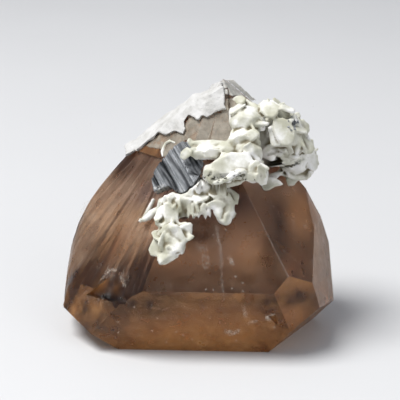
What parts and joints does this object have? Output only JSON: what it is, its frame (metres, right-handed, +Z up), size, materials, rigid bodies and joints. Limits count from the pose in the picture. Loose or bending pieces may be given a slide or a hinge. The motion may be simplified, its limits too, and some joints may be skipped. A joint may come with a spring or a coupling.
{
  "type": "topaz crystal with albite",
  "caption": "Brown see-through topaz crystal standing on a flat base, with a crust of white bladed albite and a dark striated tabular crystal near its peak.",
  "frame": {"origin": "middle of the bounding box, at the level of the flat base", "axes": "+Z up out of the base, +X along the width as seen from the front, front towards -Y"},
  "size_m": [0.0542, 0.0428, 0.0496],
  "materials": {
    "topaz": "glassy, brown, with healed cracks and veils inside and striated growth faces",
    "albite": "white to pale greenish grey, pearly on the blades",
    "coating": "dull white powdery crust",
    "dark_mineral": "silvery black, striated, submetallic"
  },
  "bodies": {
    "root": {"topaz_crystal": "topaz", "albite_cluster": "albite", "albite_coating": "coating", "dark_tablet": "dark_mineral"}
  },
  "joints": []
}
